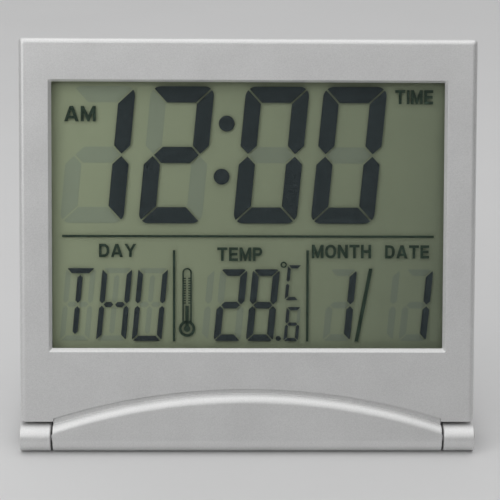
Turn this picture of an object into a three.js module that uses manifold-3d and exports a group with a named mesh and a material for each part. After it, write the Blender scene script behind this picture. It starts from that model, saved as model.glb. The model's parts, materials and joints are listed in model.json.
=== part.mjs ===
// Folding travel alarm clock with a large liquid crystal display, in millimetres.
//
// The clock leans back on its own flip cover, which is hinged at the two bottom corners and folded behind
// it as a stand. The origin is the middle of the footprint, on the surface that the clock stands on:
// +X runs to the right of the face, +Y to the rear and +Z up.
//
// The body is modelled upright in a frame of its own with its origin on the hinge axis: x to the right,
// y the depth from the face to the back, z the height up the face. Its group then leans it back.
// The cover has such a frame too: x to the right, y from the hinge to its free edge, z out of its outer face.
import * as THREE from "three";
import { ConvexGeometry } from "three/addons/geometries/ConvexGeometry.js";
import { mergeVertices } from "three/addons/utils/BufferGeometryUtils.js";
import Module from "manifold-3d";

const wasm = await Module();
wasm.setup();

// ---------------------------------------------------------------- driving dimensions

const WIDTH = 110;
const BODY_TOP = 96.3; // from the hinge axis up to the top edge
const FACE = -0.8; // depth of the front panel's face
const BACK = 11; // depth of the rear wall's outer face
const SPLIT = 7; // depth at which the front bezel ends and the rear case starts
const WALL = 1.6;
const PANEL_THICKNESS = 1; // of the front panel
const EDGE_RADIUS = 1; // rounding of the long outer edges
const LEAN = THREE.MathUtils.degToRad(16);

const GAP = 0.3; // between pieces that touch
const BOND = 0.1; // between the bonded layers of the display

const BARREL_RADIUS = 3.2;
const KNUCKLE_LENGTH = 7.5;
const KNUCKLE_GAP = 0.55; // between a knuckle and the hinge tube
const PIN_RADIUS = 1;
const PIN_CLEARANCE = 0.2;
const PIN_LENGTH = 11.5;

const COVER_LENGTH = BODY_TOP; // from the hinge axis to the free edge
const COVER_THICKNESS = 2;
const COVER_LAND = 10.3; // how far the flat foot at the free edge reaches in
const UNDERSIDE = 3.8; // from the hinge axis to the body's underside, square to the open cover

const WINDOW_WIDTH = 95.9;
const WINDOW_BOTTOM = 20.7;
const WINDOW_TOP = 86.4;
const WINDOW_BEVEL = 0.85;

// The long arc across the lower front: the line where the cover ends, and the two edges of the bevel below it
const COVER_ARC = { apex: 11.9, radius: 157 };
const BEVEL_TOP_ARC = { apex: 10.6, radius: 149 };
const BEVEL_FOOT_ARC = { apex: 9.05, radius: 134 };
const BEVEL_DEPTH = -1.6; // depth of the bevel's top edge

const GLASS_WIDTH = 95.6;
const GLASS_BOTTOM = 18.6;
const GLASS_TOP = 88.6;
const CONTACT_LEDGE = 2.2; // the front glass stands out past the rear glass by this, for its contacts
const FRAME_WALL = 1.1;
const LENS_THICKNESS = 0.6;
const FILM_THICKNESS = 0.15; // of the polariser and of the reflector
const PANE_THICKNESS = 0.4; // of either glass

const BOARD_FRONT = 5.6;
const BOARD_THICKNESS = 1;
const BOARD_WIDTH = 95.8;
const BOARD_BOTTOM = 8.5;
const BOARD_TOP = 93.9;

const CELL_RADIUS = 10; // a CR2025 coin cell
const CELL_THICKNESS = 2.5;
const CELL_PLACE = { x: 24, z: 34 };
const DOOR_WIDTH = 27;
const DOOR_HEIGHT = 25;
const DOOR_THICKNESS = 0.7;
const DOOR_SEAT = 1.5; // width of the step that the door rests on

const BUZZER_RADIUS = 10;
const BUZZER_PLACE = { x: -24, z: 34 };

const BUTTON_RADIUS = 3.4;
const BUTTON_FLANGE = 1; // how far the flange stands out past the cap
const BUTTON_HEIGHT = 66;
const BUTTON_PITCH = 18;
const BUTTON_PROUD = 0.8; // how far a cap stands out of the back
const BUTTON_NAMES = ["button_mode", "button_set", "button_up", "button_down"];

const CASE_SCREW = { x: 51.3, low: 12, high: 92, radius: 1, head: 2.1, boss: 2.3 };
const BOARD_SCREW = { x: 44, low: 12.5, high: 92.4, radius: 0.8, head: 1.6, boss: 1.8 };
const SCREW_CLEARANCE = 0.25;

// ---------------------------------------------------------------- derived values

const HALF = WIDTH / 2;
const KNUCKLE_START = HALF - KNUCKLE_LENGTH;
const TUBE_HALF = KNUCKLE_START - KNUCKLE_GAP;
const COVER_INNER = BARREL_RADIUS - COVER_THICKNESS;
const DROP = Math.asin((BARREL_RADIUS + COVER_INNER) / (COVER_LENGTH - COVER_LAND));
const AXIS_Y = (BARREL_RADIUS - COVER_LENGTH) / 2;
const UNDERSIDE_SLOPE = LEAN - DROP; // of the underside, seen in the body's own frame
const LIP_BACK = FACE + PANEL_THICKNESS; // rear face of the front panel
const REAR_INNER = BACK - 1.4; // inner face of the rear wall
const BOARD_BACK = BOARD_FRONT + BOARD_THICKNESS;
const CORNER_SIGNS = [[-1, "high"], [1, "high"], [-1, "low"], [1, "low"]];

/** Height of the body's underside at a depth. */
function undersideAt(depth) {
  return (UNDERSIDE + depth * Math.sin(UNDERSIDE_SLOPE)) / Math.cos(UNDERSIDE_SLOPE);
}

/** Height of an arc across the lower front at a distance from the middle. */
function arcHeight(arc, x) {
  return arc.apex - arc.radius + Math.sqrt(arc.radius ** 2 - x ** 2);
}

// ---------------------------------------------------------------- solids

/** A closed geometry as a solid that can be joined and cut. */
function solidFrom(geometry) {
  const bare = geometry.clone();
  bare.deleteAttribute("normal");
  bare.deleteAttribute("uv");
  const merged = mergeVertices(bare);
  return new wasm.Manifold(
    new wasm.Mesh({
      numProp: 3,
      vertProperties: merged.attributes.position.array,
      triVerts: new Uint32Array(merged.index.array),
    }),
  );
}

/** A solid as a geometry again. */
function geometryFrom(solid) {
  const made = solid.getMesh();
  const geometry = new THREE.BufferGeometry();
  geometry.setAttribute("position", new THREE.BufferAttribute(new Float32Array(made.vertProperties), 3));
  geometry.setIndex(new THREE.BufferAttribute(new Uint32Array(made.triVerts), 1));
  geometry.computeVertexNormals();
  return geometry;
}

/** A box between two limits on each axis. */
function box([x0, x1], [y0, y1], [z0, z1]) {
  const geometry = new THREE.BoxGeometry(x1 - x0, y1 - y0, z1 - z0);
  geometry.translate((x0 + x1) / 2, (y0 + y1) / 2, (z0 + z1) / 2);
  return solidFrom(geometry);
}

/** A flat plate, centred on x, between two depths and two heights. */
function plate(width, depths, heights, x = 0) {
  return box([x - width / 2, x + width / 2], depths, heights);
}

/** A round peg along the depth. */
function peg(radius, [y0, y1], x, z, segments = 24) {
  const geometry = new THREE.CylinderGeometry(radius, radius, y1 - y0, segments);
  geometry.translate(x, (y0 + y1) / 2, z);
  return solidFrom(geometry);
}

/** A round bar along x, centred on the hinge axis. */
function bar(radius, [x0, x1], segments = 32) {
  const geometry = new THREE.CylinderGeometry(radius, radius, x1 - x0, segments);
  geometry.rotateZ(Math.PI / 2);
  geometry.translate((x0 + x1) / 2, 0, 0);
  return solidFrom(geometry);
}

/** A side profile, drawn in y and z, extruded along x. */
function profileAlongX(shape, [x0, x1]) {
  const options = { depth: x1 - x0, bevelEnabled: false, curveSegments: 4 };
  const geometry = new THREE.ExtrudeGeometry(shape, options);
  const turn = new THREE.Matrix4().makeBasis(
    new THREE.Vector3(0, 1, 0),
    new THREE.Vector3(0, 0, 1),
    new THREE.Vector3(1, 0, 0),
  );
  geometry.applyMatrix4(turn);
  geometry.translate(x0, 0, 0);
  return solidFrom(geometry);
}

/** A closed shape through points. */
function polygon(points) {
  return new THREE.Shape(points.map(([a, b]) => new THREE.Vector2(a, b)));
}

/** Both members of a pair that mirror each other across the middle. */
function mirrored(make) {
  return make(-1).add(make(1));
}

/** Ends of a stretch of the hinge line on one side, smaller first. */
function sideSpan(sign, near, far) {
  return sign < 0 ? [-far, -near] : [near, far];
}

/** Adds all solids in a list. */
function join(solids) {
  return solids.reduce((whole, piece) => whole.add(piece));
}

// ---------------------------------------------------------------- meshes

const clock = new THREE.Group();
const body = new THREE.Group();
body.position.set(0, AXIS_Y, BARREL_RADIUS);
body.rotation.x = -LEAN;
const cover = new THREE.Group();
cover.position.copy(body.position);
cover.rotation.x = -DROP;
clock.add(body, cover);

const SILVER = { color: 0xadadac, roughness: 0.45, metalness: 0.6 };
const DARK_PLASTIC = { color: 0x2c2d2f, roughness: 0.6, metalness: 0 };
const STEEL = { color: 0xb9bbbd, roughness: 0.3, metalness: 1 };
const CLEAR = { color: 0xf2f5f2, roughness: 0.05, metalness: 0, transparent: true, opacity: 0.25 };
const DISPLAY = { color: 0x8f9a83, roughness: 0.35, metalness: 0, transparent: true, opacity: 0.4 };
const REFLECTOR = { color: 0x7c8671, roughness: 0.5, metalness: 0.2 };
const WHITE_PLASTIC = { color: 0xd9d9d4, roughness: 0.6, metalness: 0 };
const ZEBRA_RUBBER = { color: 0x3f4044, roughness: 0.8, metalness: 0 };
const BOARD_GREEN = { color: 0x2f5b3a, roughness: 0.55, metalness: 0 };
const EPOXY = { color: 0x151515, roughness: 0.3, metalness: 0 };
const BRASS = { color: 0xb8964a, roughness: 0.35, metalness: 1 };
const SILICONE = { color: 0x9a9c9e, roughness: 0.75, metalness: 0 };
const BEAD = { color: 0x6a3d24, roughness: 0.4, metalness: 0 };
const RED_WIRE = { color: 0xa02c24, roughness: 0.5, metalness: 0 };
const BLACK_WIRE = { color: 0x1b1b1c, roughness: 0.5, metalness: 0 };

/** Adds a named piece with a material of its own to a group. */
function addPiece(group, name, solid, finish) {
  const mesh = new THREE.Mesh(geometryFrom(solid), new THREE.MeshStandardMaterial(finish));
  mesh.name = name;
  group.add(mesh);
}

// ---------------------------------------------------------------- front bezel

/** The shell's outside: the panel, its four walls and the rounded top front edge. */
function bezelOutside() {
  const shape = new THREE.Shape();
  shape.moveTo(FACE, undersideAt(FACE));
  shape.lineTo(SPLIT, undersideAt(SPLIT));
  shape.lineTo(SPLIT, BODY_TOP);
  shape.absarc(FACE + EDGE_RADIUS, BODY_TOP - EDGE_RADIUS, EDGE_RADIUS, Math.PI / 2, Math.PI, false);
  return profileAlongX(shape, [-HALF, HALF]);
}

/** The space inside the shell, behind the panel. */
function bezelCavity() {
  const shape = polygon([
    [LIP_BACK, undersideAt(LIP_BACK) + WALL],
    [SPLIT + 1, undersideAt(SPLIT + 1) + WALL],
    [SPLIT + 1, BODY_TOP - WALL],
    [LIP_BACK, BODY_TOP - WALL],
  ]);
  return profileAlongX(shape, [WALL - HALF, HALF - WALL]);
}

/** The window's opening, which narrows by a mitred bevel. */
function windowCut() {
  const inner = WINDOW_WIDTH / 2 - WINDOW_BEVEL;
  const outline = polygon([
    [-inner, WINDOW_BOTTOM + WINDOW_BEVEL],
    [inner, WINDOW_BOTTOM + WINDOW_BEVEL],
    [inner, WINDOW_TOP - WINDOW_BEVEL],
    [-inner, WINDOW_TOP - WINDOW_BEVEL],
  ]);
  const bevelled = new THREE.ExtrudeGeometry(outline, {
    depth: 2,
    bevelThickness: WINDOW_BEVEL,
    bevelSize: WINDOW_BEVEL,
    bevelSegments: 1,
  });
  bevelled.rotateX(Math.PI / 2);
  bevelled.translate(0, FACE, 0);
  const heights = [WINDOW_BOTTOM + WINDOW_BEVEL, WINDOW_TOP - WINDOW_BEVEL];
  const through = plate(2 * inner, [FACE, LIP_BACK + 1], heights);
  return solidFrom(bevelled).add(through);
}

/** The raised lower face, which ends upwards in a bevel between two arcs. */
function raisedFace() {
  const steps = 24;
  const front = -BARREL_RADIUS;
  const rear = FACE + 0.5;
  const points = [];
  for (let step = 0; step <= steps; step += 1) {
    const x = TUBE_HALF * (2 * step / steps - 1);
    points.push(new THREE.Vector3(x, front, arcHeight(BEVEL_FOOT_ARC, x)));
    points.push(new THREE.Vector3(x, BEVEL_DEPTH, arcHeight(BEVEL_TOP_ARC, x)));
    points.push(new THREE.Vector3(x, rear, arcHeight(BEVEL_TOP_ARC, x)));
  }
  for (const x of [-TUBE_HALF, TUBE_HALF]) {
    points.push(new THREE.Vector3(x, front, 0), new THREE.Vector3(x, rear, 0));
  }
  return solidFrom(new ConvexGeometry(points));
}

/** The tube between the knuckles and the neck that joins it to the underside. */
function hingeTube() {
  const along = [Math.cos(UNDERSIDE_SLOPE), Math.sin(UNDERSIDE_SLOPE)];
  const rise = UNDERSIDE + WALL / 2;
  const rear = along.map((part) => part * BARREL_RADIUS);
  const neck = polygon([
    [FACE, 0],
    rear,
    [rear[0] - along[1] * rise, rear[1] + along[0] * rise],
    [FACE, rear[1] + along[0] * rise],
  ]);
  const span = [-TUBE_HALF, TUBE_HALF];
  return bar(BARREL_RADIUS, span).add(profileAlongX(neck, span));
}

/** The holes in the tube's ends that hold the hinge pins. */
function tubePinHoles() {
  const depth = PIN_LENGTH / 2 + GAP;
  const span = [TUBE_HALF - depth, TUBE_HALF + 1];
  return mirrored((sign) => bar(PIN_RADIUS + PIN_CLEARANCE, sideSpan(sign, ...span), 16));
}

/** Bosses for one set of four screws, and the pilot holes in them. */
function bosses(screw, end) {
  const places = CORNER_SIGNS.map(([sign, row]) => [sign * screw.x, screw[row]]);
  const holeRadius = screw.radius + SCREW_CLEARANCE;
  return {
    posts: join(places.map(([x, z]) => peg(screw.boss, [LIP_BACK - 0.2, end], x, z, 16))),
    holes: join(places.map(([x, z]) => peg(holeRadius, [LIP_BACK + 0.8, end + 1], x, z, 12))),
  };
}

function frontBezel() {
  const caseBosses = bosses(CASE_SCREW, SPLIT);
  const boardBosses = bosses(BOARD_SCREW, BOARD_FRONT - BOND);
  return bezelOutside()
    .subtract(bezelCavity())
    .add(hingeTube())
    .add(raisedFace())
    .add(caseBosses.posts)
    .add(boardBosses.posts)
    .subtract(caseBosses.holes)
    .subtract(boardBosses.holes)
    .subtract(windowCut())
    .subtract(tubePinHoles());
}

// ---------------------------------------------------------------- display

/** A layer of the display, with its depth range. */
function layer(depths, lift = 0, inset = 0) {
  return plate(GLASS_WIDTH - 2 * inset, depths, [GLASS_BOTTOM + lift, GLASS_TOP - lift]);
}

function displayFrame() {
  const inner = GLASS_WIDTH / 2 + GAP;
  const outer = inner + FRAME_WALL;
  const depths = [LIP_BACK + BOND, BOARD_FRONT - BOND];
  const ring = box([-outer, outer], depths, [GLASS_BOTTOM - GAP - FRAME_WALL, GLASS_TOP + GAP + FRAME_WALL]);
  const opening = box([-inner, inner], [0, BOARD_FRONT], [GLASS_BOTTOM - GAP, GLASS_TOP + GAP]);
  return ring.subtract(opening);
}

/** Stacks the display from the lens back. */
function addDisplay() {
  const behind = (front, thickness) => [front + BOND, front + BOND + thickness];
  const lens = behind(LIP_BACK + BOND, LENS_THICKNESS);
  const polariser = behind(lens[1], FILM_THICKNESS);
  const frontGlass = behind(polariser[1], PANE_THICKNESS);
  const rearGlass = behind(frontGlass[1], PANE_THICKNESS);
  const reflector = behind(rearGlass[1], FILM_THICKNESS);
  addPiece(body, "window_lens", layer(lens), CLEAR);
  addPiece(body, "front_polariser", layer(polariser, 0.8, 0.5), DISPLAY);
  addPiece(body, "lcd_front_glass", layer(frontGlass), DISPLAY);
  addPiece(body, "lcd_rear_glass", layer(rearGlass, CONTACT_LEDGE), DISPLAY);
  addPiece(body, "rear_reflector", layer(reflector, CONTACT_LEDGE + 0.2, 0.1), REFLECTOR);
  addPiece(body, "lcd_frame", displayFrame(), WHITE_PLASTIC);

  const stripDepths = [rearGlass[0], BOARD_FRONT - BOND];
  const stripWidth = GLASS_WIDTH - 6;
  const lower = [GLASS_BOTTOM + 0.2, GLASS_BOTTOM + CONTACT_LEDGE - 2 * BOND];
  const upper = [GLASS_TOP - CONTACT_LEDGE + 2 * BOND, GLASS_TOP - 0.2];
  addPiece(body, "zebra_strip_lower", plate(stripWidth, stripDepths, lower), ZEBRA_RUBBER);
  addPiece(body, "zebra_strip_upper", plate(stripWidth, stripDepths, upper), ZEBRA_RUBBER);
}

// ---------------------------------------------------------------- circuit board

function mainBoard() {
  const board = plate(BOARD_WIDTH, [BOARD_FRONT, BOARD_BACK], [BOARD_BOTTOM, BOARD_TOP]);
  const radius = BOARD_SCREW.radius + SCREW_CLEARANCE;
  const depths = [BOARD_FRONT - 1, BOARD_BACK + 1];
  const places = CORNER_SIGNS.map(([sign, row]) => [sign * BOARD_SCREW.x, BOARD_SCREW[row]]);
  return board.subtract(join(places.map(([x, z]) => peg(radius, depths, x, z, 12))));
}

/** The drop of epoxy over the clock chip. */
function chipBlob() {
  const radius = 5;
  const height = 1.1;
  const profile = new THREE.EllipseCurve(0, 0, radius, height, 0, Math.PI / 2).getPoints(6);
  const geometry = new THREE.LatheGeometry([new THREE.Vector2(0, 0), ...profile], 20);
  geometry.translate(0, BOARD_BACK + BOND, 48);
  return solidFrom(geometry);
}

/** The watch crystal's can, lying on the board. */
function quartzCrystal() {
  const radius = 1;
  const geometry = new THREE.CylinderGeometry(radius, radius, 6, 16);
  geometry.rotateZ(Math.PI / 2);
  geometry.translate(12, BOARD_BACK + BOND + radius, 52);
  return solidFrom(geometry);
}

/** The bead that senses the temperature, near the bottom edge. */
function thermistor() {
  const radius = 1.1;
  const geometry = new THREE.SphereGeometry(radius, 14, 8);
  geometry.scale(1.4, 1, 1);
  geometry.translate(-38, BOARD_BACK + BOND + radius, 17);
  return solidFrom(geometry);
}

/** A brass disc with the smaller ceramic disc on its front. */
function piezoBuzzer() {
  const { x, z } = BUZZER_PLACE;
  const disc = peg(BUZZER_RADIUS, [REAR_INNER - 0.5, REAR_INNER - 0.2], x, z, 32);
  const ceramic = peg(BUZZER_RADIUS * 0.7, [REAR_INNER - 0.75, REAR_INNER - 0.45], x, z, 32);
  return disc.add(ceramic);
}

/** A lead from the buzzer to the board, ending at two places on its route. */
function buzzerLead(startOffset, endX) {
  const radius = 0.4;
  const leave = REAR_INNER - 0.75 - BOND - radius;
  const land = BOARD_BACK + BOND + radius;
  const start = new THREE.Vector3(BUZZER_PLACE.x + startOffset, leave, BUZZER_PLACE.z + 2);
  const end = new THREE.Vector3(endX, land, 50);
  const middle = start.clone().lerp(end, 0.5).add(new THREE.Vector3(-2, 0, 2));
  const route = new THREE.CatmullRomCurve3([start, middle, end]);
  const section = new THREE.Shape();
  section.absarc(0, 0, radius, 0, 2 * Math.PI);
  return solidFrom(new THREE.ExtrudeGeometry(section, { steps: 14, extrudePath: route, curveSegments: 4 }));
}

function coinCell() {
  const front = BOARD_BACK + 0.35;
  const can = peg(CELL_RADIUS, [front + 0.4, front + CELL_THICKNESS], CELL_PLACE.x, CELL_PLACE.z, 40);
  const cap = peg(CELL_RADIUS - 1.4, [front, front + 0.5], CELL_PLACE.x, CELL_PLACE.z, 40);
  return can.add(cap);
}

/** The flat spring under the cell. */
function contactMinus() {
  const { x, z } = CELL_PLACE;
  return plate(9, [BOARD_BACK + BOND, BOARD_BACK + BOND + 0.15], [z - 3, z + 3], x);
}

/** The bent clip that touches the cell's rim. */
function contactPlus() {
  const near = CELL_PLACE.x + CELL_RADIUS + GAP;
  const heights = [CELL_PLACE.z - 3, CELL_PLACE.z + 3];
  const upright = box([near, near + 0.3], [BOARD_BACK + BOND, REAR_INNER - 0.4], heights);
  const foot = box([near, near + 3], [BOARD_BACK + BOND, BOARD_BACK + BOND + 0.3], heights);
  return upright.add(foot);
}

// ---------------------------------------------------------------- buttons

const BUTTON_BOTTOM = BOARD_BACK + 2.3;
const MAT_DEPTH = BOARD_BACK + BOND;

/** Distance of a button from the middle. */
function buttonX(index) {
  return BUTTON_PITCH * (index - (BUTTON_NAMES.length - 1) / 2);
}

/** The silicone mat with a dome under each button. */
function keypadMat() {
  const width = BUTTON_PITCH * (BUTTON_NAMES.length - 1) + 12;
  const sheet = plate(width, [MAT_DEPTH, MAT_DEPTH + 0.7], [BUTTON_HEIGHT - 6, BUTTON_HEIGHT + 6]);
  const domes = BUTTON_NAMES.map((_, index) =>
    peg(BUTTON_RADIUS - 0.6, [MAT_DEPTH, MAT_DEPTH + 1.2], buttonX(index), BUTTON_HEIGHT, 20),
  );
  return sheet.add(join(domes));
}

/** A cap with a flange that keeps it behind the rear wall. */
function button(index) {
  const x = buttonX(index);
  const cap = peg(BUTTON_RADIUS, [BUTTON_BOTTOM, BACK + BUTTON_PROUD], x, BUTTON_HEIGHT, 32);
  const flange = peg(BUTTON_RADIUS + BUTTON_FLANGE, [BUTTON_BOTTOM, REAR_INNER - GAP], x, BUTTON_HEIGHT, 32);
  return cap.add(flange);
}

// ---------------------------------------------------------------- rear case

const DOOR_LEDGE = BACK - DOOR_THICKNESS - GAP;
const HEAD_SEAT = REAR_INNER - 0.8; // floor of the pocket that a case screw's head sits in

/** The rear case's outside: a rounded top edge, a rounded bottom edge and the sloping underside. */
function rearOutside() {
  const front = SPLIT + GAP;
  const corner = undersideAt(BACK) + EDGE_RADIUS;
  const shape = new THREE.Shape();
  shape.moveTo(front, undersideAt(front));
  shape.lineTo(BACK - EDGE_RADIUS, undersideAt(BACK - EDGE_RADIUS));
  shape.lineTo(BACK, corner);
  shape.absarc(BACK - EDGE_RADIUS, BODY_TOP - EDGE_RADIUS, EDGE_RADIUS, 0, Math.PI / 2, false);
  shape.lineTo(front, BODY_TOP);
  return profileAlongX(shape, [-HALF, HALF]);
}

function rearCavity() {
  const front = SPLIT - 1;
  const shape = polygon([
    [front, undersideAt(front) + WALL],
    [REAR_INNER, undersideAt(REAR_INNER) + WALL],
    [REAR_INNER, BODY_TOP - WALL],
    [front, BODY_TOP - WALL],
  ]);
  return profileAlongX(shape, [WALL - HALF, HALF - WALL]);
}

/** The stepped opening that the battery door closes. */
function doorOpening() {
  const around = (depths, grow) => {
    const half = DOOR_HEIGHT / 2 + grow;
    return plate(DOOR_WIDTH + 2 * grow, depths, [CELL_PLACE.z - half, CELL_PLACE.z + half], CELL_PLACE.x);
  };
  return around([DOOR_LEDGE, BACK + 1], GAP).add(around([REAR_INNER - 1, BACK], -DOOR_SEAT));
}

/** Three slots that let the alarm's sound out. */
function soundSlots() {
  const slots = [-1, 0, 1].map((row) => {
    const z = BUZZER_PLACE.z + row * 3;
    return plate(9, [REAR_INNER - 1, BACK + 1], [z - 0.6, z + 0.6], BUZZER_PLACE.x);
  });
  return join(slots);
}

function rearCase() {
  const places = CORNER_SIGNS.map(([sign, row]) => [sign * CASE_SCREW.x, CASE_SCREW[row]]);
  const posts = places.map(([x, z]) => peg(CASE_SCREW.boss + 0.9, [SPLIT + GAP, REAR_INNER + 0.4], x, z, 20));
  const pocketRadius = CASE_SCREW.head + SCREW_CLEARANCE;
  const pockets = places.map(([x, z]) => peg(pocketRadius, [HEAD_SEAT, BACK + 1], x, z, 20));
  const holeRadius = CASE_SCREW.radius + SCREW_CLEARANCE;
  const holes = places.map(([x, z]) => peg(holeRadius, [SPLIT - 1, BACK], x, z, 12));
  const keyholes = BUTTON_NAMES.map((_, index) =>
    peg(BUTTON_RADIUS + GAP, [REAR_INNER - 1, BACK + 1], buttonX(index), BUTTON_HEIGHT, 32),
  );
  return rearOutside()
    .subtract(rearCavity())
    .add(join(posts).intersect(rearOutside()))
    .subtract(join([...pockets, ...holes, ...keyholes]))
    .subtract(doorOpening())
    .subtract(soundSlots());
}

/** The battery door: a plate with a plug that holds the cell down and a dished finger grip. */
function batteryDoor() {
  const { x, z } = CELL_PLACE;
  const half = DOOR_HEIGHT / 2;
  const lid = plate(DOOR_WIDTH, [BACK - DOOR_THICKNESS, BACK], [z - half, z + half], x);
  const plugHalf = half - DOOR_SEAT - GAP;
  const plugDepths = [REAR_INNER + 0.15, BACK - DOOR_THICKNESS + 0.1];
  const plug = plate(DOOR_WIDTH - 2 * (DOOR_SEAT + GAP), plugDepths, [z - plugHalf, z + plugHalf], x);
  const grip = peg(4, [BACK - 0.4, BACK + 1], x, z + half - 3.5, 24);
  return lid.add(plug).subtract(grip);
}

// ---------------------------------------------------------------- screws

/** A pan head screw along the depth with a cross recess, from its tip to the top of its head. */
function crossScrew(screw, x, z, [tip, seat, top]) {
  const shank = peg(screw.radius, [tip, seat + 0.1], x, z, 12);
  const head = peg(screw.head, [seat, top], x, z, 20);
  const slot = 0.25 * screw.head;
  const arm = 0.65 * screw.head;
  const depths = [top - 0.5, top + 1];
  const across = box([x - arm, x + arm], depths, [z - slot / 2, z + slot / 2]);
  const upright = box([x - slot / 2, x + slot / 2], depths, [z - arm, z + arm]);
  return shank.add(head).subtract(across.add(upright));
}

function addScrews() {
  CORNER_SIGNS.forEach(([sign, row], index) => {
    const caseDepths = [LIP_BACK + 1.4, HEAD_SEAT + 0.2, HEAD_SEAT + 1.5];
    const caseScrew = crossScrew(CASE_SCREW, sign * CASE_SCREW.x, CASE_SCREW[row], caseDepths);
    addPiece(body, `case_screw_${index + 1}`, caseScrew, STEEL);
    const boardDepths = [LIP_BACK + 1.4, BOARD_BACK + BOND, BOARD_BACK + BOND + 1];
    const boardScrew = crossScrew(BOARD_SCREW, sign * BOARD_SCREW.x, BOARD_SCREW[row], boardDepths);
    addPiece(body, `pcb_screw_${index + 1}`, boardScrew, STEEL);
  });
}

// ---------------------------------------------------------------- flip cover and its pins

/** Height, in the cover's frame, of the surface that the clock stands on. */
function floorAt(along) {
  return (along * Math.sin(DROP) - BARREL_RADIUS) / Math.cos(DROP);
}

/** The cover's plate, shaved flat at its free edge where it rests on the table. */
function coverPlate() {
  const landStart = (COVER_INNER * Math.cos(DROP) + BARREL_RADIUS) / Math.sin(DROP);
  const shape = new THREE.Shape();
  shape.moveTo(0, COVER_INNER);
  shape.lineTo(landStart, COVER_INNER);
  shape.lineTo(COVER_LENGTH, floorAt(COVER_LENGTH));
  shape.absarc(COVER_LENGTH - EDGE_RADIUS, BARREL_RADIUS - EDGE_RADIUS, EDGE_RADIUS, 0, Math.PI / 2, false);
  shape.lineTo(0, BARREL_RADIUS);
  return profileAlongX(shape, [-HALF, HALF]);
}

/** The arched space between the cover's two arms, which the raised face fills when it is shut. */
function coverArch() {
  const centre = COVER_ARC.apex + GAP - COVER_ARC.radius;
  const reach = Math.asin(KNUCKLE_START / COVER_ARC.radius);
  const shape = new THREE.Shape();
  shape.moveTo(-KNUCKLE_START, -1);
  shape.lineTo(KNUCKLE_START, -1);
  shape.absarc(0, centre, COVER_ARC.radius, Math.PI / 2 - reach, Math.PI / 2 + reach, false);
  const geometry = new THREE.ExtrudeGeometry(shape, { depth: 6, bevelEnabled: false, curveSegments: 14 });
  return solidFrom(geometry);
}

function flipCover() {
  const knuckles = mirrored((sign) => bar(BARREL_RADIUS, sideSpan(sign, KNUCKLE_START, HALF)));
  const span = [KNUCKLE_START - 1, KNUCKLE_START + PIN_LENGTH / 2 + GAP];
  const holes = mirrored((sign) => bar(PIN_RADIUS + PIN_CLEARANCE, sideSpan(sign, ...span), 16));
  return coverPlate().subtract(coverArch()).add(knuckles).subtract(holes);
}

function hingePin(sign) {
  const middle = (KNUCKLE_START + TUBE_HALF) / 2;
  return bar(PIN_RADIUS, sideSpan(sign, middle - PIN_LENGTH / 2, middle + PIN_LENGTH / 2), 16);
}

// ---------------------------------------------------------------- assembly

addPiece(body, "front_bezel", frontBezel(), SILVER);
addDisplay();
addPiece(body, "main_pcb", mainBoard(), BOARD_GREEN);
addPiece(body, "chip_blob", chipBlob(), EPOXY);
addPiece(body, "quartz_crystal", quartzCrystal(), STEEL);
addPiece(body, "thermistor", thermistor(), BEAD);
addPiece(body, "piezo_buzzer", piezoBuzzer(), BRASS);
addPiece(body, "buzzer_lead_red", buzzerLead(-1.5, -14), RED_WIRE);
addPiece(body, "buzzer_lead_black", buzzerLead(1.5, -10), BLACK_WIRE);
addPiece(body, "battery_contact_minus", contactMinus(), STEEL);
addPiece(body, "battery_contact_plus", contactPlus(), STEEL);
addPiece(body, "coin_cell", coinCell(), STEEL);
addPiece(body, "keypad_mat", keypadMat(), SILICONE);
BUTTON_NAMES.forEach((name, index) => addPiece(body, name, button(index), DARK_PLASTIC));
addPiece(body, "rear_case", rearCase(), SILVER);
addPiece(body, "battery_door", batteryDoor(), SILVER);
addScrews();
addPiece(body, "hinge_pin_left", hingePin(-1), STEEL);
addPiece(body, "hinge_pin_right", hingePin(1), STEEL);
addPiece(cover, "flip_cover", flipCover(), SILVER);

export default clock;
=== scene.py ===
"""The looks of a folding travel alarm clock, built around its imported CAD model.

Shapes are drawn in millimetres in one of the clock's two own frames, and then placed in the scene in metres.
Both frames have their origin on the hinge axis. In BODY, x runs to the right, y from the face to the back
and z up the face. In COVER, x runs to the right, y from the hinge to the free edge and z out of the outer
face.
"""
import json
import math

import bmesh
import bpy
from mathutils import Matrix, Vector


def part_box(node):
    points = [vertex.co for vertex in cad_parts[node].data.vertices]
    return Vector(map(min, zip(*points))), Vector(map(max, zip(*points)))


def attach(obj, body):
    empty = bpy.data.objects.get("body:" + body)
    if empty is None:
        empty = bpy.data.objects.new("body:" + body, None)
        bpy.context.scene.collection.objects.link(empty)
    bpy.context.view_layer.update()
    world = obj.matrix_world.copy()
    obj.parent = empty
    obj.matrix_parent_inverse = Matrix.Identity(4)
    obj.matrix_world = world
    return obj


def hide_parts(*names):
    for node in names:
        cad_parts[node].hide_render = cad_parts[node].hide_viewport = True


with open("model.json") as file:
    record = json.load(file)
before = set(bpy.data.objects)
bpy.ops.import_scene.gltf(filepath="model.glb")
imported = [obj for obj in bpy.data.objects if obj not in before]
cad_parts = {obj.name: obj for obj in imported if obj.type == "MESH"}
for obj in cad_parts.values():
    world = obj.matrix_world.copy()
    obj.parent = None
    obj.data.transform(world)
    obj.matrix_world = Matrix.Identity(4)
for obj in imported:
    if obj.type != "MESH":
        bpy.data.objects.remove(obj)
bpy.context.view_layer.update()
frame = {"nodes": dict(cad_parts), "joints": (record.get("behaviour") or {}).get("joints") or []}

scene = bpy.context.scene

# ---------------- the clock's own frames

MM = 0.001


def joint(name):
    return next(j for j in frame["joints"] if j["name"] == name)


HINGE = Vector(joint("cover_hinge")["pos_m"])
REARWARD = joint("battery_door_lift")["axis"]
LEAN = math.atan2(-REARWARD[2], REARWARD[1])
DROP = math.radians(270 + joint("cover_hinge")["range_deg"][0]) + LEAN


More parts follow.
